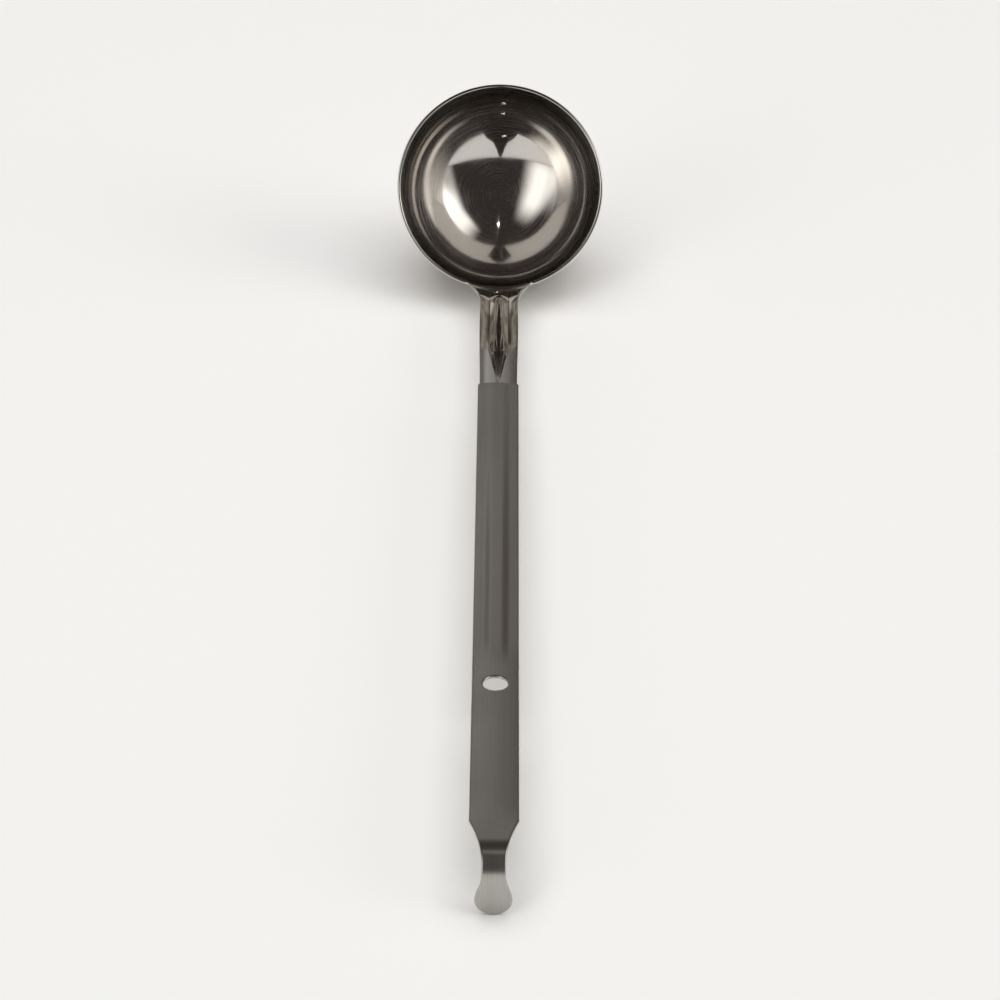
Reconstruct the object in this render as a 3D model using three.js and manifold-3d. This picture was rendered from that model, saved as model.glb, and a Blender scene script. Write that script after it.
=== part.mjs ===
import * as THREE from 'three';
import Module from 'manifold-3d';

const wasm = await Module();
wasm.setup();

// A steel ladle laid on a table. Millimetres and degrees.
// It is drawn with the bowl upright and the middle of its rim at the origin, the neck leaving the
// rim towards -Y, and is then turned as a whole to lie on its bowl and its hook.

// Bowl: a wide arc at the bottom, a tighter one up the side, then a straight wall to the rim
const RIM_DIAMETER = 76;
const BOWL_SHEET = 1.2;
const SIDE_RADIUS = 21.5;
const SIDE_ANGLE = 46;
const WALL_ANGLE = 88.5;
const WALL_LENGTH = 12;

// Neck: part of the bowl's pressing
const HANDLE_PITCH = 58;
const NECK_BEND = 40;
const NECK_LENGTH = 79.9;
const NECK_WIDTH = 13.8;
const NECK_SWELL = 0.7;
const NECK_EDGE_ROLL = 0.9;
const NECK_FLATTEN = 20;
const ROOT_FLARE = 4.6;
const ROOT_DROP = 5.2;
const GROOVE_START = 15;
const GROOVE_RUN_IN = 7;
const GROOVE_WIDTH = 7;
const GROOVE_DEPTH = 0.9;
const GROOVE_END_DEPTH = 1;
const GROOVE_END_WALL = 0.45;
const GROOVE_TAPER = 25;
const GROOVE_TIP_WIDTH = 0.34;
const CHANNEL_WIDTH = 3.9;
const CHANNEL_FLOOR = 1.2;
const CHANNEL_DEPTH = 0.25;
const CHANNEL_TAPER = 16;
const TANG_WIDTH = 12.4;
const TANG_LENGTH = 26;
const TANG_EASE = 6;

// Handle
const HANDLE_SHEET = 1.2;
const LAP_GAP = 0.3;
const HANDLE_LENGTH = 262;
const HANDLE_FRONT_WIDTH = 14.55;
const HANDLE_REAR_WIDTH = 15.45;
const TAIL_STEP = 0.15;
const MOUTH_CORNER = 1.4;
const RIB_LENGTH = 179;
const RIB_WIDTH = 8.8;
const RIB_TOP_WIDTH = 3.2;
const RIB_HEIGHT = 0.5;
const RIB_MOUTH_HEIGHT = 0.13;
const RIB_RISE = 131;
const RIB_CROWN = 0.22;
const TAIL_CROWN = 0.55;
const HOLE_DIAMETER = 8;
const HOLE_FROM_MOUTH = 188.3;

// Hook
const SHOULDER_LENGTH = 19;
const SHOULDER_EASE = 1.6;
const HOOK_FROM_SHOULDER = 9.3;
const HOOK_RADIUS = 9.6;
const HOOK_SWEEP = 98;
const HOOK_WIDTH = 7.5;
const TONGUE_LENGTH = 12.7;
const TONGUE_FLARE = 10;
const TIP_WIDTH = 11.6;
const TIP_FLAT = 1.8;

// Spot welds between tang and handle
const WELD_COUNT = 3;
const WELD_DIAMETER = 4;
const WELD_DEPTH = 0.5;
const WELD_CLEARANCE = 0.3;

// How finely the curved sheets are divided
const BOTTOM_RINGS = 7;
const SIDE_RINGS = 9;
const BOWL_COLUMNS = 44;
const NECK_COLUMNS = 15;
const GROOVE_COLUMNS = 7;
const GROOVE_COLUMNS_LEAST = 2.8;
const HANDLE_COLUMNS = 10;
const ROUND_STEPS = 28;
const PROBE = 0.01;

const rad = THREE.MathUtils.degToRad;
const lerp = THREE.MathUtils.lerp;
const rise = THREE.MathUtils.smoothstep;
const clamp = THREE.MathUtils.clamp;

const sideAngle = rad(SIDE_ANGLE);
const wallAngle = rad(WALL_ANGLE);
const pitch = rad(HANDLE_PITCH);
const sweep = rad(HOOK_SWEEP);
const bendLength = NECK_BEND * (wallAngle - pitch);
const taperStart = NECK_LENGTH - GROOVE_TAPER;
const tangEnd = NECK_LENGTH + TANG_LENGTH;
const shoulder = NECK_LENGTH + HANDLE_LENGTH;
const hookStart = shoulder + HOOK_FROM_SHOULDER;
const hookEnd = hookStart + HOOK_RADIUS * sweep;
const handleEnd = hookEnd + TONGUE_LENGTH;
const tipRadius = TIP_WIDTH / 2;
const tipCentre = handleEnd - tipRadius;
const tipTurn = Math.acos(TIP_FLAT / TIP_WIDTH);
const tipEnd = tipCentre + tipRadius * Math.sin(tipTurn);
const ribEnd = NECK_LENGTH + RIB_LENGTH;

function evenly(from, to, steps) {
  return Array.from({ length: steps + 1 }, (_, i) => lerp(from, to, i / steps));
}

// Half section of the bowl's inside: distance from the axis, height from the rim, how steeply it climbs
const rimRadius = RIM_DIAMETER / 2 - BOWL_SHEET * Math.sin(wallAngle);
const wallStart = {
  r: rimRadius - WALL_LENGTH * Math.cos(wallAngle),
  z: -WALL_LENGTH * Math.sin(wallAngle),
};
const sideCentre = {
  r: wallStart.r - SIDE_RADIUS * Math.sin(wallAngle),
  z: wallStart.z + SIDE_RADIUS * Math.cos(wallAngle),
};
const bottomRadius = SIDE_RADIUS + sideCentre.r / Math.sin(sideAngle);
const bottomCentre = { r: 0, z: sideCentre.z + (bottomRadius - SIDE_RADIUS) * Math.cos(sideAngle) };

function onArc(centre, radius, climb) {
  return { r: centre.r + radius * Math.sin(climb), z: centre.z - radius * Math.cos(climb), climb };
}

const bowlSection = [
  ...evenly(0, sideAngle, BOTTOM_RINGS).map((climb) => onArc(bottomCentre, bottomRadius, climb)),
  ...evenly(sideAngle, wallAngle, SIDE_RINGS).slice(1).map((climb) => onArc(sideCentre, SIDE_RADIUS, climb)),
  { r: rimRadius, z: 0, climb: wallAngle },
];

// Side view of the front surface: s runs from the bowl's inner rim edge along neck and handle to the
// tip of the tongue. It gives the place in the YZ plane and how steeply the surface climbs there.
function afterArc(start, from, to, radius) {
  const y = start.y - radius * (Math.sin(from) - Math.sin(to));
  const z = start.z + radius * (Math.cos(to) - Math.cos(from));
  return { y, z, climb: to };
}

function afterStraight(start, length) {
  const y = start.y - length * Math.cos(start.climb);
  const z = start.z + length * Math.sin(start.climb);
  return { y, z, climb: start.climb };
}

const rimPoint = { y: -rimRadius, z: 0, climb: wallAngle };
const bendPoint = afterArc(rimPoint, wallAngle, pitch, NECK_BEND);
const hookPoint = afterStraight(bendPoint, hookStart - bendLength);
const tonguePoint = afterArc(hookPoint, pitch, pitch - sweep, HOOK_RADIUS);

function spine(s) {
  if (s < bendLength) {
    return afterArc(rimPoint, wallAngle, wallAngle - s / NECK_BEND, NECK_BEND);
  }
  if (s < hookStart) {
    return afterStraight(bendPoint, s - bendLength);
  }
  if (s < hookEnd) {
    return afterArc(hookPoint, pitch, pitch - (s - hookStart) / HOOK_RADIUS, HOOK_RADIUS);
  }
  return afterStraight(tonguePoint, s - hookEnd);
}

// A point raised by h from the spine at station s, x to the side of it
function raised(x, s, h) {
  const at = spine(s);
  return new THREE.Vector3(x, at.y + h * Math.sin(at.climb), at.z + h * Math.cos(at.climb));
}

function faceNormal(surface, x, s) {
  const along = surface(x, s + PROBE).sub(surface(x, s - PROBE));
  const across = surface(x + PROBE, s).sub(surface(x - PROBE, s));
  return along.cross(across).normalize();
}

// Neck
function neckHalfWidth(s) {
  const swell = Math.sin(Math.PI * clamp(s / NECK_LENGTH, 0, 1)) ** 2;
  const half = (NECK_WIDTH + NECK_SWELL * swell) / 2;
  const outward = -spine(s).y - rimRadius;
  const flare = ROOT_FLARE * clamp(1 - outward / ROOT_DROP, 0, 1) ** 2;
  const tang = rise(s, NECK_LENGTH + LAP_GAP, NECK_LENGTH + TANG_EASE);
  return lerp(half + flare, TANG_WIDTH / 2, tang);
}

function grooveFading(s) {
  return clamp((NECK_LENGTH - s) / GROOVE_TAPER, 0, 1);
}

function grooveHalfWidth(s) {
  return lerp(GROOVE_TIP_WIDTH, GROOVE_WIDTH, grooveFading(s)) / 2;
}

// The neck sinks evenly until it lies under the handle. Its groove closes in a V at the handle's mouth,
// and a narrower channel along the groove ends sooner.
function neckRelief(x, s) {
  const aside = Math.abs(x);
  const begins = rise(s, GROOVE_START, GROOVE_START + GROOVE_RUN_IN);
  const ends = 1 - rise(s, NECK_LENGTH, NECK_LENGTH + TANG_EASE);
  const along = clamp((s - GROOVE_START) / (taperStart - GROOVE_START), 0, 1);
  const depth = lerp(GROOVE_DEPTH, GROOVE_END_DEPTH, along) * grooveFading(s);
  const wall = lerp(1, GROOVE_END_WALL, along);
  const groove = depth * clamp((1 - aside / grooveHalfWidth(s)) / wall, 0, 1);
  const narrowing = Math.sqrt(clamp((taperStart - s) / CHANNEL_TAPER, 0.001, 1));
  const step = rise(aside, CHANNEL_FLOOR / 2 * narrowing, CHANNEL_WIDTH / 2 * narrowing);
  const channel = CHANNEL_DEPTH * narrowing * (1 - step);
  const roll = NECK_EDGE_ROLL * (aside / (NECK_WIDTH / 2)) ** 3;
  const underHandle = (HANDLE_SHEET + LAP_GAP) * clamp(s / NECK_LENGTH, 0, 1);
  return -(groove + channel + roll) * begins * ends - underHandle;
}

function neckSurface(x, s) {
  const point = raised(x, s, neckRelief(x, s));
  const radius = -spine(s).y;
  const sag = radius - Math.sqrt(radius ** 2 - x ** 2);
  point.y += sag * (1 - rise(s, 0, NECK_FLATTEN));
  return point;
}

// Place across the neck, u from -1 to 1: evenly spread at the rim, further out keeping to the groove's edges
function acrossNeck(u, s) {
  const half = neckHalfWidth(s);
  const groove = Math.max(grooveHalfWidth(s), GROOVE_COLUMNS_LEAST / 2);
  const share = GROOVE_COLUMNS / NECK_COLUMNS;
  const beyond = Math.max(Math.abs(u) - share, 0) / (1 - share);
  const x = Math.sign(u) * lerp(groove * Math.min(Math.abs(u) / share, 1), half, beyond);
  return lerp(u * half, x, rise(s, 0, NECK_FLATTEN));
}

// Handle
function handleHalfWidth(s) {
  const width = lerp(HANDLE_FRONT_WIDTH, HANDLE_REAR_WIDTH, (s - NECK_LENGTH) / HANDLE_LENGTH);
  const body = (width + TAIL_STEP * rise(s, ribEnd - RIB_WIDTH, ribEnd)) / 2;
  if (s < NECK_LENGTH + MOUTH_CORNER) {
    const drop = NECK_LENGTH + MOUTH_CORNER - s;
    return body - MOUTH_CORNER + Math.sqrt(Math.max(MOUTH_CORNER ** 2 - drop ** 2, 0));
  }
  if (s < shoulder) {
    return body;
  }
  if (s > tipCentre) {
    return Math.sqrt(Math.max(tipRadius ** 2 - (s - tipCentre) ** 2, 0));
  }
  const rear = (HANDLE_REAR_WIDTH + TAIL_STEP) / 2;
  const taper = Math.max(1 - (s - shoulder) / SHOULDER_LENGTH, 0) ** SHOULDER_EASE;
  const flare = rise(s, tipCentre - TONGUE_FLARE, tipCentre);
  return HOOK_WIDTH / 2 + (rear - HOOK_WIDTH / 2) * taper + (tipRadius - HOOK_WIDTH / 2) * flare;
}

function handleRelief(x, s) {
  const tail = rise(s, ribEnd - RIB_WIDTH * 2, ribEnd);
  const grown = rise(s, NECK_LENGTH, NECK_LENGTH + RIB_RISE);
  const rib = lerp(RIB_MOUTH_HEIGHT, RIB_HEIGHT, grown) * (1 - tail);
  const flank = rise(Math.abs(x), RIB_TOP_WIDTH / 2, RIB_WIDTH / 2);
  const flat = 1 - rise(s, shoulder - HOOK_FROM_SHOULDER, hookStart);
  const crown = lerp(RIB_CROWN, TAIL_CROWN, tail) * flat * (x / (HANDLE_REAR_WIDTH / 2)) ** 2;
  return rib * (1 - flank) - crown;
}

function handleSurface(x, s) {
  return raised(x, s, handleRelief(x, s));
}

// A closed sheet between two faces with the same layout. The rim of open edges is walled up.
function thicken(front, back, faces) {
  const count = front.length;
  const index = [];
  const open = new Map();
  for (const [a, b, c] of faces) {
    index.push(a, b, c, a + count, c + count, b + count);
    for (const [p, q] of [[a, b], [b, c], [c, a]]) {
      if (!open.delete(`${q}_${p}`)) {
        open.set(`${p}_${q}`, [p, q]);
      }
    }
  }
  for (const [p, q] of open.values()) {
    index.push(q, p, p + count, q, p + count, q + count);
  }
  const geometry = new THREE.BufferGeometry().setFromPoints([...front, ...back]);
  geometry.setIndex(index);
  return geometry;
}

function quad(a, b, c, d) {
  return [[a, b, c], [a, c, d]];
}

function bowlAndNeck() {
  const front = [];
  const back = [];
  const faces = [];
  const rings = bowlSection.length - 1;
  const sides = evenly(-1, 1, NECK_COLUMNS);
  const rootReach = neckHalfWidth(0);
  const sector = sides.map((u) => Math.asin(u * rootReach / rimRadius));
  const last = sector[NECK_COLUMNS];
  const around = [...sector, ...evenly(last, 2 * Math.PI - last, BOWL_COLUMNS).slice(1, -1)];
  const columns = around.length;

  function addBowlPoint({ r, z, climb }, turn) {
    const outside = r + BOWL_SHEET * Math.sin(climb);
    front.push(new THREE.Vector3(r * Math.sin(turn), -r * Math.cos(turn), z));
    back.push(new THREE.Vector3(
      outside * Math.sin(turn),
      -outside * Math.cos(turn),
      z - BOWL_SHEET * Math.cos(climb),
    ));
  }

  addBowlPoint(bowlSection[0], 0);
  for (const place of bowlSection.slice(1)) {
    around.forEach((turn) => addBowlPoint(place, turn));
  }
  const ring = (i, j) => 1 + (i - 1) * columns + (j % columns);
  for (let j = 0; j < columns; j += 1) {
    faces.push([0, ring(1, j), ring(1, j + 1)]);
    for (let i = 1; i < rings; i += 1) {
      faces.push(...quad(ring(i, j), ring(i + 1, j), ring(i + 1, j + 1), ring(i, j + 1)));
    }
  }

  const stations = [
    ...evenly(0, GROOVE_START + GROOVE_RUN_IN, 14).slice(1),
    ...evenly(GROOVE_START + GROOVE_RUN_IN, taperStart, 7).slice(1),
    ...evenly(taperStart, NECK_LENGTH - LAP_GAP, 8).slice(1),
    ...evenly(NECK_LENGTH + LAP_GAP, NECK_LENGTH + TANG_EASE, 4),
    tangEnd,
  ];
  const firstNeck = front.length;
  for (const s of stations) {
    for (const u of sides) {
      const x = acrossNeck(u, s);
      const point = neckSurface(x, s);
      front.push(point);
      back.push(point.clone().addScaledVector(faceNormal(neckSurface, x, s), -BOWL_SHEET));
    }
  }
  const neck = (k, j) => (k === 0 ? ring(rings, j) : firstNeck + (k - 1) * sides.length + j);
  for (let k = 0; k < stations.length; k += 1) {
    for (let j = 0; j < NECK_COLUMNS; j += 1) {
      faces.push(...quad(neck(k, j), neck(k + 1, j), neck(k + 1, j + 1), neck(k, j + 1)));
    }
  }
  return thicken(front, back, faces);
}

function handleStrip() {
  const front = [];
  const back = [];
  const faces = [];
  const sides = evenly(-1, 1, HANDLE_COLUMNS);
  const corner = evenly(0, Math.PI / 2, 3).map((a) => NECK_LENGTH + MOUTH_CORNER * (1 - Math.cos(a)));
  const tip = evenly(0, tipTurn, 7).map((a) => tipCentre + tipRadius * Math.sin(a));
  const stations = [
    ...corner,
    ...evenly(NECK_LENGTH + MOUTH_CORNER, ribEnd - RIB_WIDTH * 2, 9).slice(1),
    ...evenly(ribEnd - RIB_WIDTH * 2, ribEnd, 5).slice(1),
    ...evenly(ribEnd, shoulder, 4).slice(1),
    ...evenly(shoulder, hookStart, 5).slice(1),
    ...evenly(hookStart, hookEnd, 10).slice(1),
    ...evenly(hookEnd, tipCentre, 5).slice(1, -1),
    ...tip,
  ];
  for (const s of stations) {
    for (const u of sides) {
      const x = u * handleHalfWidth(s);
      const point = handleSurface(x, s);
      front.push(point);
      back.push(point.clone().addScaledVector(faceNormal(handleSurface, x, s), -HANDLE_SHEET));
    }
  }
  const at = (k, j) => k * sides.length + j;
  for (let k = 0; k + 1 < stations.length; k += 1) {
    for (let j = 0; j < HANDLE_COLUMNS; j += 1) {
      faces.push(...quad(at(k, j), at(k + 1, j), at(k + 1, j + 1), at(k, j + 1)));
    }
  }
  return thicken(front, back, faces);
}

// A round bar square to the sheet at station s, its top raised by h from the spine
function roundBar(diameter, length, s, h) {
  const bar = new THREE.CylinderGeometry(diameter / 2, diameter / 2, length, ROUND_STEPS);
  bar.translate(0, -length / 2, 0);
  bar.rotateX(Math.PI / 2 - spine(s).climb);
  const top = raised(0, s, h);
  bar.translate(top.x, top.y, top.z);
  return bar;
}

function welded(geometry) {
  const places = new Map();
  const points = [];
  const source = geometry.getAttribute('position');
  const order = geometry.index ? [...geometry.index.array] : [...Array(source.count).keys()];
  const index = order.map((i) => {
    const point = new THREE.Vector3().fromBufferAttribute(source, i);
    const key = point.toArray().map((v) => Math.round(v * 1e4)).join('_');
    if (!places.has(key)) {
      places.set(key, points.push(point) - 1);
    }
    return places.get(key);
  });
  const sound = [];
  for (let i = 0; i < index.length; i += 3) {
    const [a, b, c] = index.slice(i, i + 3);
    if (a !== b && b !== c && c !== a) {
      sound.push(a, b, c);
    }
  }
  return { points, index: sound };
}

function toSolid(geometry) {
  const { points, index } = welded(geometry);
  return new wasm.Manifold(new wasm.Mesh({
    numProp: 3,
    vertProperties: new Float32Array(points.flatMap((p) => p.toArray())),
    triVerts: new Uint32Array(index),
  }));
}

function toGeometry(solid) {
  const { vertProperties, triVerts } = solid.getMesh();
  const geometry = new THREE.BufferGeometry();
  geometry.setAttribute('position', new THREE.Float32BufferAttribute(vertProperties, 3));
  geometry.setIndex([...triVerts]);
  return geometry;
}

function cut(geometry, cutters) {
  const solid = cutters.reduce((left, tool) => left.subtract(toSolid(tool)), toSolid(geometry));
  return toGeometry(solid);
}

// Spot welds stand in shallow pockets, half in the handle's underside and half in the tang
const weldStations = evenly(NECK_LENGTH + TANG_EASE, tangEnd, WELD_COUNT * 2)
  .filter((_, i) => i % 2 === 1);
const pocketDiameter = WELD_DIAMETER + 2 * WELD_CLEARANCE;
const pocketTop = -HANDLE_SHEET + WELD_DEPTH;
const pocketDepth = LAP_GAP + 2 * WELD_DEPTH;
const weldTop = pocketTop - WELD_CLEARANCE;
const weldHeight = pocketDepth - 2 * WELD_CLEARANCE;
const pockets = weldStations.map((s) => roundBar(pocketDiameter, pocketDepth, s, pocketTop));

const holeStation = NECK_LENGTH + HOLE_FROM_MOUTH;
const holePunch = roundBar(HOLE_DIAMETER, HANDLE_SHEET * 4, holeStation, HANDLE_SHEET * 2);

const polished = new THREE.MeshStandardMaterial({ color: 0xc9c5bf, metalness: 1, roughness: 0.1 });
const satin = new THREE.MeshStandardMaterial({ color: 0xb4b1ab, metalness: 1, roughness: 0.4 });
const weldMetal = new THREE.MeshStandardMaterial({ color: 0x8f8c88, metalness: 1, roughness: 0.6 });

function piece(name, geometry, material) {
  geometry.computeVertexNormals();
  const mesh = new THREE.Mesh(geometry, material);
  mesh.name = name;
  return mesh;
}

const ladle = new THREE.Group();
ladle.name = 'ladle';
ladle.add(piece('bowl_and_neck', cut(bowlAndNeck(), pockets), polished));
ladle.add(piece('handle', cut(handleStrip(), [...pockets, holePunch]), satin));
weldStations.forEach((s, i) => {
  ladle.add(piece(`spot_weld_${i + 1}`, roundBar(WELD_DIAMETER, weldHeight, s, weldTop), weldMetal));
});

// Laid down: the line under the bowl's side and the lower corner of the tongue's tip becomes level
const tipFront = raised(0, tipEnd, 0);
const tipBack = raised(0, tipEnd, -HANDLE_SHEET);
function layAngle(tip) {
  const y = tip.y + sideCentre.r;
  const z = tip.z - sideCentre.z;
  return Math.PI + Math.asin((SIDE_RADIUS + BOWL_SHEET) / Math.hypot(y, z)) - Math.atan2(z, y);
}
const lay = new THREE.Group();
lay.name = 'laid_down';
lay.add(ladle);
ladle.rotation.x = Math.min(layAngle(tipFront), layAngle(tipBack));

const part = new THREE.Group();
part.name = 'ramen_ladle';
part.add(lay);
part.updateMatrixWorld(true);
const reach = new THREE.Box3().setFromObject(part, true);
const middle = reach.getCenter(new THREE.Vector3());
lay.position.set(-middle.x, -middle.y, -reach.min.z);
part.updateMatrixWorld(true);

export default part;
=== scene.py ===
import math

import bpy
import numpy as np
from mathutils import Matrix, Vector, kdtree


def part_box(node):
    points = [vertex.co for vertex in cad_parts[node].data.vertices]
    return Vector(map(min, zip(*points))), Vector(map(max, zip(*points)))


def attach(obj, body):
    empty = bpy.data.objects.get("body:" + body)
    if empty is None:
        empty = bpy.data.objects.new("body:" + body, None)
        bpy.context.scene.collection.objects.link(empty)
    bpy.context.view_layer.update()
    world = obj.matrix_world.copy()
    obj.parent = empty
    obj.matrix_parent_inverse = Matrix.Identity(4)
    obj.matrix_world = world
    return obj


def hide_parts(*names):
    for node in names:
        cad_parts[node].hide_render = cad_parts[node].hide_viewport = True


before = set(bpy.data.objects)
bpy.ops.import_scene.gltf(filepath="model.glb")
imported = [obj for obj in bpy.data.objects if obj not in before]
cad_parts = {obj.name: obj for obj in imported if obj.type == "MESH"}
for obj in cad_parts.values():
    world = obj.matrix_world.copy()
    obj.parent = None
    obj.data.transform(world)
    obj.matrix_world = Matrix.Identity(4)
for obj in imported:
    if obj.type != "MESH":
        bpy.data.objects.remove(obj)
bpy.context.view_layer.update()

# Driving sizes of the ladle, in millimetres and degrees, as in the solids that these sheets stand for.
# The ladle is drawn with its bowl upright and the middle of its rim at the origin, the neck leaving the
# rim towards -Y, and is then turned to lie as the solids do.
MM = 0.001

RIM_DIAMETER = 76
BOWL_SHEET = 1.2
SIDE_RADIUS = 21.5
SIDE_ANGLE = 46
WALL_ANGLE = 88.5
WALL_LENGTH = 12

HANDLE_PITCH = 58
NECK_BEND = 40
NECK_LENGTH = 79.9
NECK_WIDTH = 13.8
NECK_SWELL = 0.7
NECK_EDGE_ROLL = 0.9
ROOT_FLARE = 4.6
ROOT_DROP = 5.2
NECK_FLATTEN = 20
GROOVE_START = 15
GROOVE_RUN_IN = 7
GROOVE_WIDTH = 7
GROOVE_DEPTH = 0.9
GROOVE_END_DEPTH = 1
GROOVE_END_WALL = 0.45
GROOVE_TAPER = 25
GROOVE_TIP_WIDTH = 0.34
CHANNEL_WIDTH = 3.9
CHANNEL_FLOOR = 1.2
CHANNEL_DEPTH = 0.25
CHANNEL_TAPER = 16
TANG_WIDTH = 12.4
TANG_LENGTH = 26
TANG_EASE = 6

HANDLE_SHEET = 1.2
LAP_GAP = 0.3
HANDLE_LENGTH = 262
HANDLE_FRONT_WIDTH = 14.55
HANDLE_REAR_WIDTH = 15.45
TAIL_STEP = 0.15
MOUTH_CORNER = 1.4
RIB_LENGTH = 179
RIB_WIDTH = 8.8
RIB_TOP_WIDTH = 3.2
RIB_HEIGHT = 0.5
RIB_MOUTH_HEIGHT = 0.13
RIB_RISE = 131
RIB_CROWN = 0.22
TAIL_CROWN = 0.55
HOLE_DIAMETER = 8
HOLE_FROM_MOUTH = 188.3
HOLE_PATCH = 9
GROOVE_SHARE = 0.5

SHOULDER_LENGTH = 19
SHOULDER_EASE = 1.6
HOOK_FROM_SHOULDER = 9.3
HOOK_RADIUS = 9.6
HOOK_SWEEP = 98
HOOK_WIDTH = 7.5
TONGUE_LENGTH = 12.7
TONGUE_FLARE = 10
TIP_WIDTH = 11.6
TIP_FLAT = 0.3

# Rounded edges of the two sheets, and how closely the sheets are laid out
EDGE_ROUND = 0.52
EDGE_STEPS = 6
PROBE = 0.01
BOWL_COLUMNS = 190
BOTTOM_STEPS = 34
SIDE_STEPS = 40
WALL_STEPS = 6
NECK_COLUMNS = 60
ROOT_STEPS = 60
GROOVE_STEPS = 40
TAPER_STEPS = 50
TANG_STEPS = 12
HANDLE_COLUMNS = 40
MOUTH_STEPS = 10
RIB_STEPS = 90
RIB_END_STEPS = 24
TAIL_STEPS = 30
SHOULDER_STEPS = 16
HOOK_STEPS = 32
TONGUE_STEPS = 20
TIP_STEPS = 28
HOLE_SIDE_STEPS = 40
HOLE_RINGS = 12

rad = math.radians
side_angle = rad(SIDE_ANGLE)
wall_angle = rad(WALL_ANGLE)
pitch = rad(HANDLE_PITCH)
sweep = rad(HOOK_SWEEP)

bend_length = NECK_BEND * (wall_angle - pitch)
taper_start = NECK_LENGTH - GROOVE_TAPER
tang_end = NECK_LENGTH + TANG_LENGTH
shoulder = NECK_LENGTH + HANDLE_LENGTH
hook_start = shoulder + HOOK_FROM_SHOULDER
hook_end = hook_start + HOOK_RADIUS * sweep
handle_end = hook_end + TONGUE_LENGTH
tip_radius = TIP_WIDTH / 2
tip_centre = handle_end - tip_radius
tip_turn = math.acos(TIP_FLAT / TIP_WIDTH)
tip_end = tip_centre + tip_radius * math.sin(tip_turn)
rib_end = NECK_LENGTH + RIB_LENGTH
hole_station = NECK_LENGTH + HOLE_FROM_MOUTH

rim_radius = RIM_DIAMETER / 2 - BOWL_SHEET * math.sin(wall_angle)
wall_start_r = rim_radius - WALL_LENGTH * math.cos(wall_angle)
wall_start_z = -WALL_LENGTH * math.sin(wall_angle)
side_centre_r = wall_start_r - SIDE_RADIUS * math.sin(wall_angle)
side_centre_z = wall_start_z + SIDE_RADIUS * math.cos(wall_angle)
bottom_radius = SIDE_RADIUS + side_centre_r / math.sin(side_angle)
bottom_centre_z = side_centre_z + (bottom_radius - SIDE_RADIUS) * math.cos(side_angle)


def rise(value, start, end):
    t = np.clip((value - start) / (end - start), 0, 1)
    return t * t * (3 - 2 * t)


def lerp(a, b, t):
    return a + (b - a) * t


# Side view of the front surface: s runs from the bowl's inner rim edge along neck and handle to the tip
def after_arc(start, to, radius):
    y, z, climb = start
    return y - radius * (np.sin(climb) - np.sin(to)), z + radius * (np.cos(to) - np.cos(climb)), to


def after_straight(start, length):
    y, z, climb = start
    return y - length * np.cos(climb), z + length * np.sin(climb), climb + 0 * length


rim_point = (-rim_radius, 0.0, wall_angle)
bend_point = after_arc(rim_point, pitch, NECK_BEND)
hook_point = after_straight(bend_point, hook_start - bend_length)
tongue_point = after_arc(hook_point, pitch - sweep, HOOK_RADIUS)


def spine(s):
    stretches = [
        after_arc(rim_point, wall_angle - s / NECK_BEND, NECK_BEND),
        after_straight(bend_point, s - bend_length),
        after_arc(hook_point, pitch - (s - hook_start) / HOOK_RADIUS, HOOK_RADIUS),
        after_straight(tongue_point, s - hook_end),
    ]
    ends = [s < bend_length, s < hook_start, s < hook_end]
    return [np.select(ends, values[:3], values[3]) for values in zip(*stretches)]


def raised(x, s, h):
    y, z, climb = spine(s)
    return np.stack([x + 0 * y, y + h * np.sin(climb), z + h * np.cos(climb)], axis=-1)


def face_normals(surface, x, s):
    along = surface(x, s + PROBE) - surface(x, s - PROBE)
    across = surface(x + PROBE, s) - surface(x - PROBE, s)
    normal = np.cross(along, across)
    return normal / np.linalg.norm(normal, axis=-1, keepdims=True)


# Neck
def neck_half_width(s):
    swell = np.sin(np.pi * np.clip(s / NECK_LENGTH, 0, 1)) ** 2
    half = (NECK_WIDTH + NECK_SWELL * swell) / 2
    outward = -spine(s)[0] - rim_radius
    flare = ROOT_FLARE * np.clip(1 - outward / ROOT_DROP, 0, 1) ** 2
    tang = rise(s, NECK_LENGTH + LAP_GAP, NECK_LENGTH + TANG_EASE)
    return lerp(half + flare, TANG_WIDTH / 2, tang)


def groove_fading(s):
    return np.clip((NECK_LENGTH - s) / GROOVE_TAPER, 0, 1)


def groove_half_width(s):
    return lerp(GROOVE_TIP_WIDTH, GROOVE_WIDTH, groove_fading(s)) / 2


def neck_relief(x, s):
    """A groove that closes in a flat V at the handle, with a narrower channel that ends sooner."""
    begins = rise(s, GROOVE_START, GROOVE_START + GROOVE_RUN_IN)
    ends = 1 - rise(s, NECK_LENGTH, NECK_LENGTH + TANG_EASE)
    along = np.clip((s - GROOVE_START) / (taper_start - GROOVE_START), 0, 1)
    depth = lerp(GROOVE_DEPTH, GROOVE_END_DEPTH, along) * groove_fading(s)
    wall = lerp(1, GROOVE_END_WALL, along)
    groove = depth * np.clip((1 - np.abs(x) / groove_half_width(s)) / wall, 0, 1)
    narrowing = np.sqrt(np.clip((taper_start - s) / CHANNEL_TAPER, 0.001, 1))
    step = rise(np.abs(x), CHANNEL_FLOOR / 2 * narrowing, CHANNEL_WIDTH / 2 * narrowing)
    channel = CHANNEL_DEPTH * narrowing * (1 - step)
    roll = NECK_EDGE_ROLL * (np.abs(x) / (NECK_WIDTH / 2)) ** 3
    under_handle = (HANDLE_SHEET + LAP_GAP) * np.clip(s / NECK_LENGTH, 0, 1)
    return -(groove + channel + roll) * begins * ends - under_handle


def neck_surface(x, s):
    points = raised(x, s, neck_relief(x, s))
    radius = -spine(s)[0]
    sag = radius - np.sqrt(radius**2 - x**2)
    points[..., 1] += sag * (1 - rise(s, 0, NECK_FLATTEN))
    return points


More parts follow.
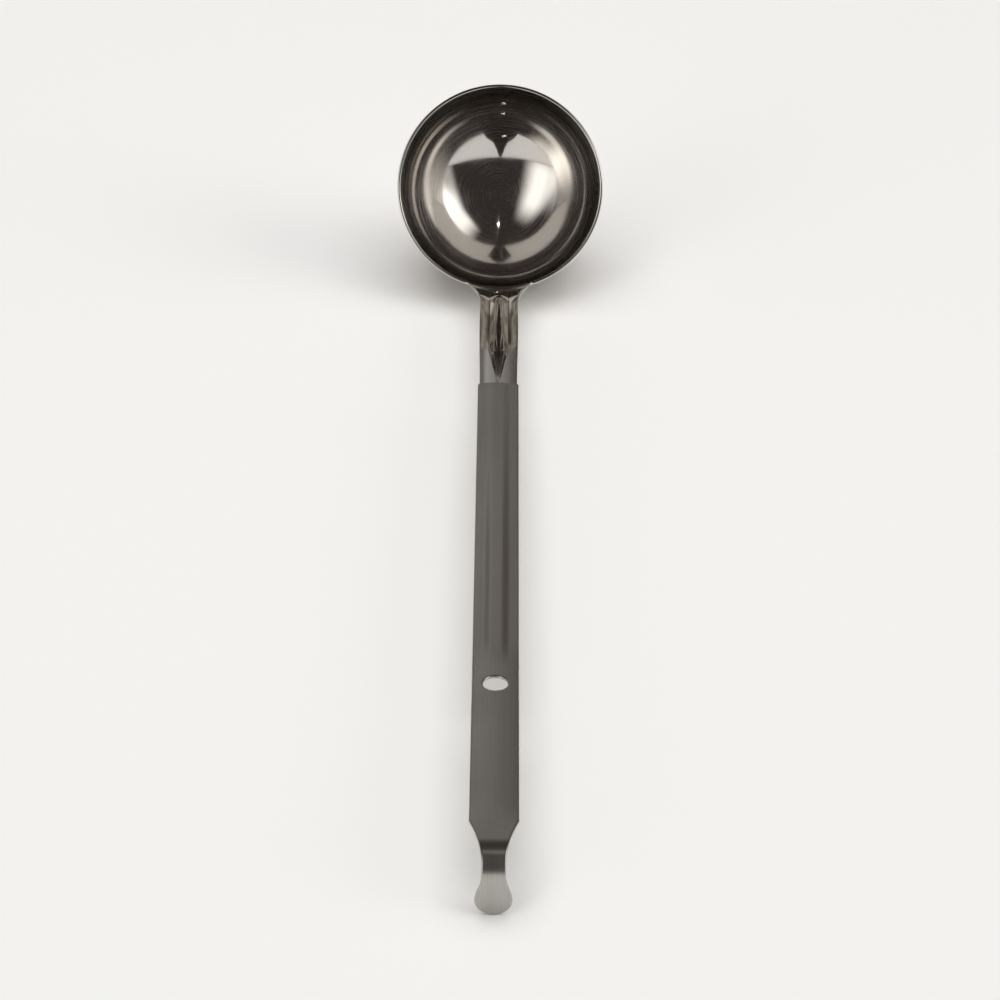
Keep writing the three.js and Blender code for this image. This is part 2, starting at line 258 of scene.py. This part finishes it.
# Handle
def handle_half_width(s):
    width = lerp(HANDLE_FRONT_WIDTH, HANDLE_REAR_WIDTH, (s - NECK_LENGTH) / HANDLE_LENGTH)
    body = (width + TAIL_STEP * rise(s, rib_end - RIB_WIDTH, rib_end)) / 2
    drop = np.clip(NECK_LENGTH + MOUTH_CORNER - s, 0, MOUTH_CORNER)
    mouth = body - MOUTH_CORNER + np.sqrt(MOUTH_CORNER**2 - drop**2)
    rear = (HANDLE_REAR_WIDTH + TAIL_STEP) / 2
    taper = np.clip(1 - (s - shoulder) / SHOULDER_LENGTH, 0, 1) ** SHOULDER_EASE
    flare = rise(s, tip_centre - TONGUE_FLARE, tip_centre)
    hook = HOOK_WIDTH / 2 + (rear - HOOK_WIDTH / 2) * taper + (tip_radius - HOOK_WIDTH / 2) * flare
    tip = np.sqrt(np.maximum(tip_radius**2 - np.maximum(s - tip_centre, 0) ** 2, 0))
    return np.select([s < shoulder, s < tip_centre], [mouth, hook], tip)


def handle_relief(x, s):
    tail = rise(s, rib_end - RIB_WIDTH * 2, rib_end)
    grown = rise(s, NECK_LENGTH, NECK_LENGTH + RIB_RISE)
    rib = lerp(RIB_MOUTH_HEIGHT, RIB_HEIGHT, grown) * (1 - tail)
    flank = rise(np.abs(x), RIB_TOP_WIDTH / 2, RIB_WIDTH / 2)
    flat = 1 - rise(s, shoulder - HOOK_FROM_SHOULDER, hook_start)
    crown = lerp(RIB_CROWN, TAIL_CROWN, tail) * flat * (x / (HANDLE_REAR_WIDTH / 2)) ** 2
    return rib * (1 - flank) - crown


def handle_surface(x, s):
    return raised(x, s, handle_relief(x, s))


# A sheet is laid out as a front face with normals and marks along and across it, and is then thickened
class Sheet:
    def __init__(self):
        self.points = []
        self.normals = []
        self.marks = []
        self.faces = []

    def add(self, points, normals, marks):
        first = len(self.points)
        self.points.extend(np.reshape(points, (-1, 3)))
        self.normals.extend(np.reshape(normals, (-1, 3)))
        self.marks.extend(np.reshape(marks, (-1, 2)))
        return first

    def quads(self, rows):
        for lower, upper in zip(rows, rows[1:]):
            for j in range(len(lower) - 1):
                self.faces.append((lower[j], upper[j], upper[j + 1], lower[j + 1]))


def open_edges(faces):
    edges = {}
    for face in faces:
        for p, q in zip(face, face[1:] + face[:1]):
            if p != q and edges.pop((q, p), None) is None:
                edges[(p, q)] = True
    return list(edges)


def distance_to_edge(points, edges):
    """How far each point lies from the nearest open edge, up to a little past the rounding."""
    tree = kdtree.KDTree(len(edges))
    for i, (p, q) in enumerate(edges):
        tree.insert((points[p] + points[q]) / 2, i)
    tree.balance()
    longest = max(np.linalg.norm(points[p] - points[q]) for p, q in edges)
    away = np.full(len(points), EDGE_ROUND * 2)
    for i, point in enumerate(points):
        for _, k, _ in tree.find_range(point, EDGE_ROUND + longest):
            start, end = points[edges[k][0]], points[edges[k][1]]
            along = end - start
            t = np.clip(np.dot(point - start, along) / np.dot(along, along), 0, 1)
            away[i] = min(away[i], np.linalg.norm(point - start - t * along))
    return away


def thicken(name, sheet, thickness, to_frame):
    points = np.array(sheet.points)
    normals = np.array(sheet.normals)
    faces = [tuple(dict.fromkeys(face)) for face in sheet.faces]
    edges = open_edges(faces)
    inset = np.maximum(EDGE_ROUND - distance_to_edge(points, edges), 0)
    drop = EDGE_ROUND - np.sqrt(EDGE_ROUND**2 - inset**2)
    front = points - normals * drop[:, None]
    back = points - normals * (thickness - drop)[:, None]
    count = len(points)
    solid = list(faces)
    solid += [tuple(i + count for i in reversed(face)) for face in faces]
    solid += [(q, p, p + count, q + count) for p, q in edges]
    places = np.concatenate([front, back]) * MM
    mesh = bpy.data.meshes.new(name)
    mesh.from_pydata([to_frame @ Vector(p) for p in places], [], solid)
    mesh.polygons.foreach_set("use_smooth", [True] * len(solid))
    marks = np.concatenate([sheet.marks, sheet.marks])
    layer = mesh.uv_layers.new(name="along_and_across")
    corners = np.zeros(len(mesh.loops), int)
    mesh.loops.foreach_get("vertex_index", corners)
    layer.data.foreach_set("uv", marks[corners].ravel())
    mesh.update()
    obj = bpy.data.objects.new(name, mesh)
    bpy.context.scene.collection.objects.link(obj)
    return obj


def spread(start, end, steps):
    return np.linspace(start, end, steps + 1)


def edge_steps(length):
    """Stations from a rounded edge inwards, closer together at the edge."""
    return EDGE_ROUND * (1 - np.cos(np.linspace(0, math.pi / 2, EDGE_STEPS + 1)))[:-1] / length


def across_sheet(half_width, steps):
    """Positions across a strip from -1 to 1, with extra ones where its edges are rounded."""
    near = edge_steps(half_width)
    inner = 1 - EDGE_ROUND / half_width
    return np.concatenate([near - 1, spread(-inner, inner, steps), (1 - near)[::-1]])


def neck_columns(sides, s):
    """Positions across the neck: even at the rim, and further out keeping to the groove's edges."""
    half = float(neck_half_width(s))
    groove = float(groove_half_width(s))
    inside = sides / GROOVE_SHARE * groove
    outside = np.sign(sides) * lerp(groove, half, (np.abs(sides) - GROOVE_SHARE) / (1 - GROOVE_SHARE))
    following = np.where(np.abs(sides) < GROOVE_SHARE, inside, outside)
    return lerp(sides * half, following, rise(s, 0, NECK_FLATTEN))


def bowl_and_neck_sheet():
    sheet = Sheet()
    sides = across_sheet(NECK_WIDTH / 2, NECK_COLUMNS)
    root_reach = float(neck_half_width(np.array(0.0)))
    sector = np.arcsin(sides * root_reach / rim_radius)
    rest = spread(sector[-1], 2 * math.pi + sector[0], BOWL_COLUMNS)[1:-1]
    around = np.concatenate([sector, rest])
    columns = len(around)

    climbs = np.concatenate([
        spread(0, side_angle, BOTTOM_STEPS),
        spread(side_angle, wall_angle, SIDE_STEPS)[1:],
    ])
    low = climbs <= side_angle
    centre_r = np.where(low, 0, side_centre_r)
    centre_z = np.where(low, bottom_centre_z, side_centre_z)
    radius = np.where(low, bottom_radius, SIDE_RADIUS)
    section_r = centre_r + radius * np.sin(climbs)
    section_z = centre_z - radius * np.cos(climbs)
    near_rim = WALL_LENGTH * (1 - edge_steps(WALL_LENGTH)[::-1])
    up_wall = np.concatenate([spread(0, WALL_LENGTH - EDGE_ROUND, WALL_STEPS)[1:], near_rim])
    section_r = np.concatenate([section_r, wall_start_r + up_wall * math.cos(wall_angle)])
    section_z = np.concatenate([section_z, wall_start_z + up_wall * math.sin(wall_angle)])
    climbs = np.concatenate([climbs, np.full(len(up_wall), wall_angle)])
    lengths = np.concatenate([[0], np.cumsum(np.hypot(np.diff(section_r), np.diff(section_z)))])

    def ring_of(r, z, climb, length):
        points = np.stack([r * np.sin(around), -r * np.cos(around), np.full(columns, z)], axis=-1)
        lean = np.sin(climb)
        upright = np.full(columns, np.cos(climb))
        normals = np.stack([-lean * np.sin(around), lean * np.cos(around), upright], axis=-1)
        marks = np.stack([around * rim_radius, np.full(columns, length - lengths[-1])], axis=-1)
        first = sheet.add(points, normals, marks)
        return [first + j % columns for j in range(columns + 1)]

    pole = sheet.add([0, 0, section_z[0]], [0, 0, 1], [0, -lengths[-1]])
    rings = [ring_of(*place) for place in list(zip(section_r, section_z, climbs, lengths))[1:]]
    for j in range(columns):
        sheet.faces.append((pole, rings[0][j], rings[0][j + 1]))
    sheet.quads(rings)

    stations = np.concatenate([
        spread(0, GROOVE_START + GROOVE_RUN_IN, ROOT_STEPS)[1:],
        spread(GROOVE_START + GROOVE_RUN_IN, taper_start, GROOVE_STEPS)[1:],
        spread(taper_start, NECK_LENGTH, TAPER_STEPS)[1:],
        spread(NECK_LENGTH, NECK_LENGTH + TANG_EASE, TANG_STEPS)[1:],
        spread(NECK_LENGTH + TANG_EASE, tang_end - EDGE_ROUND, TANG_STEPS)[1:],
        tang_end - edge_steps(1)[::-1],
    ])
    rows = [rings[-1][: len(sides)]]
    for s in stations:
        x = neck_columns(sides, s)
        along = np.full(len(x), s)
        marks = np.stack([x, along], axis=-1)
        first = sheet.add(neck_surface(x, along), face_normals(neck_surface, x, along), marks)
        rows.append(list(range(first, first + len(x))))
    sheet.quads(rows)
    return sheet


def handle_sheet():
    sheet = Sheet()
    sides = across_sheet(HANDLE_FRONT_WIDTH / 2, HANDLE_COLUMNS)

    def place(x, s):
        normals = face_normals(handle_surface, x, s)
        return sheet.add(handle_surface(x, s), normals, np.stack([x, s], axis=-1))

    def row_at(s):
        x = sides * handle_half_width(s)
        first = place(x, np.full(len(x), s))
        return list(range(first, first + len(x)))

    corner = MOUTH_CORNER * (1 - np.cos(spread(0, math.pi / 2, MOUTH_STEPS)))
    before = np.concatenate([
        NECK_LENGTH + corner,
        spread(NECK_LENGTH + MOUTH_CORNER, rib_end - RIB_WIDTH * 2, RIB_STEPS)[1:],
        spread(rib_end - RIB_WIDTH * 2, hole_station - HOLE_PATCH, RIB_END_STEPS)[1:],
    ])
    after = np.concatenate([
        spread(hole_station + HOLE_PATCH, shoulder, TAIL_STEPS),
        spread(shoulder, hook_start, SHOULDER_STEPS)[1:],
        spread(hook_start, hook_end, HOOK_STEPS)[1:],
        spread(hook_end, tip_centre, TONGUE_STEPS)[1:],
        tip_centre + tip_radius * np.sin(spread(0, tip_turn, TIP_STEPS)[1:]),
    ])
    rows_before = [row_at(s) for s in before]
    rows_after = [row_at(s) for s in after]
    sheet.quads(rows_before)
    sheet.quads(rows_after)

    # Around the hole the rows give way to rings between the hole and a square patch
    beside = spread(hole_station - HOLE_PATCH, hole_station + HOLE_PATCH, HOLE_SIDE_STEPS)
    half = handle_half_width(beside)
    sides_on = list(zip(half[1:-1], beside[1:-1]))
    right = [rows_before[-1][-1]] + [place(h, s) for h, s in sides_on] + [rows_after[0][-1]]
    left = [rows_before[-1][0]] + [place(-h, s) for h, s in sides_on] + [rows_after[0][0]]
    loop = rows_before[-1][:-1] + right[:-1] + rows_after[0][:0:-1] + left[:0:-1]
    outer = np.array([sheet.marks[i] for i in loop])
    turn = np.arctan2(outer[:, 1] - hole_station, outer[:, 0])
    hole = np.stack([np.cos(turn), np.sin(turn)], axis=-1) * HOLE_DIAMETER / 2 + [0, hole_station]
    rim = hole + (hole - [0, hole_station]) / (HOLE_DIAMETER / 2) * EDGE_ROUND
    flat = [lerp(outer, rim, t) for t in spread(0, 1, HOLE_RINGS)[1:]]
    rounded = [lerp(rim, hole, t) for t in 1 - edge_steps(EDGE_ROUND)[::-1]]
    rings = [loop + loop[:1]]
    for at in flat + rounded:
        first = place(at[:, 0], at[:, 1])
        ring = list(range(first, first + len(loop)))
        rings.append(ring + ring[:1])
    sheet.quads(rings)
    return sheet


# How the ladle lies: the line under the bowl's side and the tip of the tongue is level
def lay_matrix():
    def lay_angle(tip):
        y = tip[1] + side_centre_r
        z = tip[2] - side_centre_z
        return math.pi + math.asin((SIDE_RADIUS + BOWL_SHEET) / math.hypot(y, z)) - math.atan2(z, y)

    station = np.array(tip_end)
    tips = [raised(0, station, h) for h in (0, -HANDLE_SHEET)]
    turned = Matrix.Rotation(min(lay_angle(tip) for tip in tips), 4, "X")
    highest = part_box("bowl_and_neck")[1]
    side = turned @ Vector((0, -side_centre_r * MM, side_centre_z * MM))
    bottom = turned @ Vector((0, 0, bottom_centre_z * MM))
    y = highest.y - (bottom_radius + BOWL_SHEET) * MM - bottom.y
    z = (SIDE_RADIUS + BOWL_SHEET) * MM - side.z
    return Matrix.Translation((0, y, z)) @ turned


to_frame = lay_matrix()


# Nodes
def add_node(tree, kind, inputs, **settings):
    """A node with its settings, and its inputs given as values or as other nodes' outputs."""
    made = tree.nodes.new(kind)
    for name, value in settings.items():
        setattr(made, name, value)
    for name, value in inputs.items():
        if isinstance(value, bpy.types.NodeSocket):
            tree.links.new(value, made.inputs[name])
        else:
            made.inputs[name].default_value = value
    return made


def calc(tree, operation, a, b=0.0):
    return add_node(tree, "ShaderNodeMath", {0: a, 1: b}, operation=operation).outputs[0]


def fade(tree, value, start, end, low=0.0, high=1.0):
    """Rises smoothly from low at start to high at end; start may be above end."""
    limits = {"Value": value, "From Min": start, "From Max": end, "To Min": low, "To Max": high}
    return add_node(tree, "ShaderNodeMapRange", limits, interpolation_type="SMOOTHSTEP").outputs[0]


# Materials. The sheets carry marks in millimetres: around the bowl and up its wall, or across and along.
def metal(name, colour, roughness):
    material = bpy.data.materials.new(name)
    material.use_nodes = True
    tree = material.node_tree
    shader = tree.nodes["Principled BSDF"]
    shader.inputs["Base Color"].default_value = (*colour, 1)
    shader.inputs["Metallic"].default_value = 1
    shader.inputs["Roughness"].default_value = roughness
    return material, tree, shader


def sheet_marks(tree):
    marks = add_node(tree, "ShaderNodeUVMap", {}, uv_map="along_and_across")
    return marks.outputs["UV"]


def brushed(tree, shader, stretch, turn):
    """Reflections drawn out across the polishing lines, turn 0 across the sheet and 0.25 along it."""
    tangent = add_node(tree, "ShaderNodeTangent", {}, direction_type="UV_MAP", uv_map="along_and_across")
    tree.links.new(tangent.outputs[0], shader.inputs["Tangent"])
    shader.inputs["Anisotropic"].default_value = stretch
    shader.inputs["Anisotropic Rotation"].default_value = turn


def streaks(tree, marks, scale, detail=3.0):
    """Noise from 0 to 1 stretched along one direction of the sheet, scale in waves per millimetre."""
    stretched = add_node(tree, "ShaderNodeMapping", {"Vector": marks, "Scale": (*scale, 1)})
    place = stretched.outputs[0]
    noise = add_node(tree, "ShaderNodeTexNoise", {"Vector": place, "Scale": 1.0, "Detail": detail})
    return noise.outputs["Fac"]


def cloud(tree, scale, detail=3.0):
    """Noise from 0 to 1 in the object's own space, scale in waves per metre."""
    place = add_node(tree, "ShaderNodeTexCoord", {}).outputs["Object"]
    noise = add_node(tree, "ShaderNodeTexNoise", {"Vector": place, "Scale": scale, "Detail": detail})
    return noise.outputs["Fac"]


def tinted(tree, factor, dark, light):
    mixed = add_node(tree, "ShaderNodeMix", {"Factor": factor}, data_type="RGBA")
    mixed.inputs["A"].default_value = (*dark, 1)
    mixed.inputs["B"].default_value = (*light, 1)
    return mixed.outputs["Result"]


def blend(tree, factor, a, b):
    mixed = add_node(tree, "ShaderNodeMix", {"Factor": factor, "A": a, "B": b}, data_type="FLOAT")
    return mixed.outputs["Result"]


# Polished steel: colours, roughness between the scratches and on them, where in the noise clouds and
# scratches begin and are full, and scratches per millimetre
POLISHED_COLOUR = (0.63, 0.605, 0.57)
POLISHED_DARK = (0.6, 0.575, 0.54)
POLISHED_LIGHT = (0.66, 0.635, 0.6)
POLISHED_ROUGHNESS = 0.05
MIRROR_RANGE = (0.035, 0.075)
SCRATCH_ROUGHNESS = 0.3
POLISHED_CLOUDS = 55.0
CLOUD_NOISE = (0.35, 0.7)
SCRATCH_NOISE = (0.58, 0.68)
POLISH_STRETCH = 0.93
POLISH_TURN = 0.25
RING_WAVES = (0.02, 30.0)
LINE_WAVES = (20.0, 0.02)
MORE_RINGS = 0.04
MORE_RINGS_FROM = (-38, -29)
RINGS_TO_LINES = (-1, 4)


def polished_steel():
    """Mirror polish with fine scratches: rings round the bowl, more of them up its wall, and lines
    along the neck."""
    material, tree, shader = metal("polished_steel", POLISHED_COLOUR, POLISHED_ROUGHNESS)
    brushed(tree, shader, POLISH_STRETCH, POLISH_TURN)
    marks = sheet_marks(tree)
    up_wall = add_node(tree, "ShaderNodeSeparateXYZ", {"Vector": marks}).outputs["Y"]
    rings = streaks(tree, marks, RING_WAVES)
    wall_rings = calc(tree, "ADD", rings, fade(tree, up_wall, *MORE_RINGS_FROM, 0, MORE_RINGS))
    lines = streaks(tree, marks, LINE_WAVES)
    polish = blend(tree, fade(tree, up_wall, *RINGS_TO_LINES), wall_rings, lines)
    clouds = cloud(tree, POLISHED_CLOUDS)
    mirror = fade(tree, clouds, *CLOUD_NOISE, *MIRROR_RANGE)
    scratched = fade(tree, polish, *SCRATCH_NOISE)
    tree.links.new(blend(tree, scratched, mirror, SCRATCH_ROUGHNESS), shader.inputs["Roughness"])
    tree.links.new(tinted(tree, clouds, POLISHED_DARK, POLISHED_LIGHT), shader.inputs["Base Color"])
    bump = add_node(tree, "ShaderNodeBump", {"Strength": 0.01, "Distance": 0.00002, "Height": rings})
    tree.links.new(bump.outputs["Normal"], shader.inputs["Normal"])
    return material


# Satin steel: colours, roughness, where in the noise wear and tone begin and are full, and grain and
# scratches per millimetre
SATIN_COLOUR = (0.43, 0.415, 0.39)
SATIN_DARK = (0.405, 0.39, 0.366)
SATIN_LIGHT = (0.455, 0.44, 0.414)
SATIN_ROUGHNESS = 0.32
SATIN_RANGE = (0.27, 0.36)
SATIN_STRETCH = 0.2
SATIN_TURN = 0.0
SATIN_CLOUDS = 38.0
WEAR_NOISE = (0.34, 0.66)
TONE_NOISE = (0.34, 0.64)
GRAIN_WAVES = (5.5, 0.045)
SCRATCH_WAVES = (2.1, 0.012)
GRAIN_SHARE = 0.6


def satin_steel():
    """Belt-ground lengthwise: long fine grain, with a few longer darker scratches."""
    material, tree, shader = metal("satin_steel", SATIN_COLOUR, SATIN_ROUGHNESS)
    brushed(tree, shader, SATIN_STRETCH, SATIN_TURN)
    marks = sheet_marks(tree)
    grain = streaks(tree, marks, GRAIN_WAVES, detail=4.0)
    scratches = streaks(tree, marks, SCRATCH_WAVES, detail=2.0)
    clouds = cloud(tree, SATIN_CLOUDS)
    grained = calc(tree, "MULTIPLY", grain, GRAIN_SHARE)
    worn = calc(tree, "ADD", grained, calc(tree, "MULTIPLY", clouds, 1 - GRAIN_SHARE))
    tree.links.new(fade(tree, worn, *WEAR_NOISE, *SATIN_RANGE), shader.inputs["Roughness"])
    tone = calc(tree, "ADD", grained, calc(tree, "MULTIPLY", scratches, 1 - GRAIN_SHARE))
    colour = tinted(tree, fade(tree, tone, *TONE_NOISE), SATIN_DARK, SATIN_LIGHT)
    tree.links.new(colour, shader.inputs["Base Color"])
    bump = add_node(tree, "ShaderNodeBump", {"Strength": 0.25, "Distance": 0.00002, "Height": grain})
    tree.links.new(bump.outputs["Normal"], shader.inputs["Normal"])
    return material


# Weld metal, as the satin steel
WELD_COLOUR = (0.35, 0.33, 0.31)
WELD_GREY = (0.3, 0.29, 0.28)
WELD_STRAW = (0.42, 0.36, 0.28)
WELD_ROUGHNESS = 0.6
WELD_RANGE = (0.45, 0.7)
WELD_PATCHES = 900.0
PATCH_NOISE = (0.38, 0.62)
WELD_SKIN = 4200.0
SKIN_NOISE = (0.3, 0.7)


def weld_metal():
    """Left as welded: dull grey with straw-coloured heat tint in patches and a rough skin."""
    material, tree, shader = metal("weld_metal", WELD_COLOUR, WELD_ROUGHNESS)
    patches = cloud(tree, WELD_PATCHES)
    skin = cloud(tree, WELD_SKIN, detail=5.0)
    colour = tinted(tree, fade(tree, patches, *PATCH_NOISE), WELD_GREY, WELD_STRAW)
    tree.links.new(colour, shader.inputs["Base Color"])
    tree.links.new(fade(tree, skin, *SKIN_NOISE, *WELD_RANGE), shader.inputs["Roughness"])
    bump = add_node(tree, "ShaderNodeBump", {"Strength": 0.4, "Distance": 0.00005, "Height": skin})
    tree.links.new(bump.outputs["Normal"], shader.inputs["Normal"])
    return material


polished = polished_steel()
satin = satin_steel()
weld = weld_metal()

bowl = thicken("ladle_bowl_and_neck", bowl_and_neck_sheet(), BOWL_SHEET, to_frame)
bowl.data.materials.append(polished)
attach(bowl, "root")
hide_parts("bowl_and_neck")

handle = thicken("ladle_handle", handle_sheet(), HANDLE_SHEET, to_frame)
handle.data.materials.append(satin)
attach(handle, "root")
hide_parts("handle")

for name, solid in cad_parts.items():
    if name.startswith("spot_weld"):
        solid.data.materials.clear()
        solid.data.materials.append(weld)


# Floor
FLOOR_REACH = 8
FLOOR_COLOUR = (0.93, 0.925, 0.915, 1)
FLOOR_ROUGHNESS = 0.8
FLOOR_GLOSS = 0.1


def make_floor():
    size = FLOOR_REACH
    mesh = bpy.data.meshes.new("floor")
    corners = [(-size, -size, 0), (size, -size, 0), (size, size, 0), (-size, size, 0)]
    mesh.from_pydata(corners, [], [(0, 1, 2, 3)])
    floor = bpy.data.objects.new("floor", mesh)
    bpy.context.scene.collection.objects.link(floor)
    material = bpy.data.materials.new("pale_floor")
    material.use_nodes = True
    shader = material.node_tree.nodes["Principled BSDF"]
    shader.inputs["Base Color"].default_value = FLOOR_COLOUR
    shader.inputs["Roughness"].default_value = FLOOR_ROUGHNESS
    shader.inputs["Specular IOR Level"].default_value = FLOOR_GLOSS
    mesh.materials.append(material)


make_floor()


# Light: a room with a tall soft window on either side of the camera, dark behind the camera and
# overhead, and dim beyond the bowl. Directions are in degrees, azimuth 0 towards the camera and positive
# towards +X. A window or a lit wall has a left, a right, a bottom and a top edge, each given as where it
# starts and where it is full, and a radiance.
ROOM_RADIANCE = 0.045
LEFT_WINDOW = ((-66, -46), (-20, -40), (-16, 10), (66, 36), 1.7)
LEFT_WALL = ((-125, -85), (-50, -60), (-20, -5), (48, 5), 0.9)
RIGHT_WINDOW = ((49, 60), (105, 78), (8, 40), (72, 50), 1.7)
RIGHT_SILL = ((57, 68), (105, 78), (0, 24), (46, 28), 1.35)
RIGHT_WALL = ((46, 54), (125, 90), (-20, -5), (45, 25), 0.6)
# The light beyond the bowl falls off to the right, and also at the far left, at the camera and at the top
BEYOND_RADIANCE = (0.56, 0.075)
BEYOND_ACROSS = (-0.45, 0.35)
BEYOND_FAR_LEFT = (-0.28, -0.12)
BEYOND_LEFT_SHARE = 0.3
BEYOND_DEPTH = (-0.1, 0.5)
BEYOND_TOP = (62, 40)
# Dim light is browner than bright light
DIM_TINT = (1, 0.85, 0.79)
BRIGHT_TINT = (1, 0.98, 0.95)
TINT_RADIANCE = (0.05, 0.3)
LAMP_SIZE = (0.05, 0.03)
LAMP_PLACE = (0.05, -0.62, 2.0)
LAMP_RADIANCE = 60
LAMP_COLOUR = (1, 0.97, 0.93)
OVERHEAD_SIZE = 3.0
OVERHEAD_HEIGHT = 2.4
OVERHEAD_RADIANCE = 1.9


def make_world():
    world = bpy.data.worlds.new("room")
    bpy.context.scene.world = world
    world.use_nodes = True
    tree = world.node_tree
    coordinates = add_node(tree, "ShaderNodeTexCoord", {})
    split = add_node(tree, "ShaderNodeSeparateXYZ", {"Vector": coordinates.outputs["Generated"]})
    x, y, z = split.outputs
    azimuth = calc(tree, "DEGREES", calc(tree, "ARCTAN2", x, calc(tree, "MULTIPLY", y, -1)))
    elevation = calc(tree, "DEGREES", calc(tree, "ARCSINE", z))

    def soft_box(left, right, bottom, top, radiance):
        across = calc(tree, "MULTIPLY", fade(tree, azimuth, *left), fade(tree, azimuth, *right))
        up = calc(tree, "MULTIPLY", fade(tree, elevation, *bottom), fade(tree, elevation, *top))
        return calc(tree, "MULTIPLY", calc(tree, "MULTIPLY", across, up), radiance)

    far_left = fade(tree, x, *BEYOND_FAR_LEFT, BEYOND_LEFT_SHARE, 1)
    across = calc(tree, "MULTIPLY", far_left, fade(tree, x, *BEYOND_ACROSS, *BEYOND_RADIANCE))
    depth = calc(tree, "MULTIPLY", fade(tree, y, *BEYOND_DEPTH), fade(tree, elevation, *BEYOND_TOP))
    level = calc(tree, "ADD", calc(tree, "MULTIPLY", depth, across), ROOM_RADIANCE)
    for light in (LEFT_WINDOW, LEFT_WALL, RIGHT_WINDOW, RIGHT_SILL, RIGHT_WALL):
        level = calc(tree, "ADD", level, soft_box(*light))
    background = tree.nodes["Background"]
    tint = tinted(tree, fade(tree, level, *TINT_RADIANCE), DIM_TINT, BRIGHT_TINT)
    tree.links.new(tint, background.inputs["Color"])
    tree.links.new(level, background.inputs["Strength"])


def overhead_lamp():
    lamp = bpy.data.lights.new("overhead_lamp", "AREA")
    lamp.shape = "RECTANGLE"
    lamp.size, lamp.size_y = LAMP_SIZE
    lamp.energy = LAMP_RADIANCE * math.pi * lamp.size * lamp.size_y
    lamp.color = LAMP_COLOUR
    obj = bpy.data.objects.new("overhead_lamp", lamp)
    obj.location = LAMP_PLACE
    obj.visible_camera = False
    bpy.context.scene.collection.objects.link(obj)


def soft_overhead():
    """A wide soft light above the floor that doesn't show in the metal."""
    lamp = bpy.data.lights.new("soft_overhead", "AREA")
    lamp.shape = "SQUARE"
    lamp.size = OVERHEAD_SIZE
    lamp.energy = OVERHEAD_RADIANCE * math.pi * lamp.size**2
    obj = bpy.data.objects.new("soft_overhead", lamp)
    obj.location = (0, 0, OVERHEAD_HEIGHT)
    obj.visible_camera = False
    obj.visible_glossy = False
    bpy.context.scene.collection.objects.link(obj)


make_world()
overhead_lamp()
soft_overhead()

# Camera: square to the rim of the bowl, in front of the hook, placed from the middle of the rim
IMAGE_PIXELS = 1000
SENSOR_WIDTH = 36
FARTHEST_VIEW = 100
CAMERA_DISTANCE = 1661.85
CAMERA_BELOW_BOWL = 115.55
FOCAL_PIXELS = 4500
CAMERA_ROLL = 0.5
CAMERA_ASIDE = 0.96

camera_data = bpy.data.cameras.new("camera")
camera_data.sensor_width = SENSOR_WIDTH
camera_data.lens = SENSOR_WIDTH * FOCAL_PIXELS / IMAGE_PIXELS
camera_data.clip_end = FARTHEST_VIEW
camera = bpy.data.objects.new("camera", camera_data)
bpy.context.scene.collection.objects.link(camera)
eye = Matrix.Translation(Vector((CAMERA_ASIDE, -CAMERA_BELOW_BOWL, CAMERA_DISTANCE)) * MM)
camera.matrix_world = to_frame @ eye @ Matrix.Rotation(rad(CAMERA_ROLL), 4, "Z")
bpy.context.scene.camera = camera
bpy.context.scene.view_settings.view_transform = "Standard"
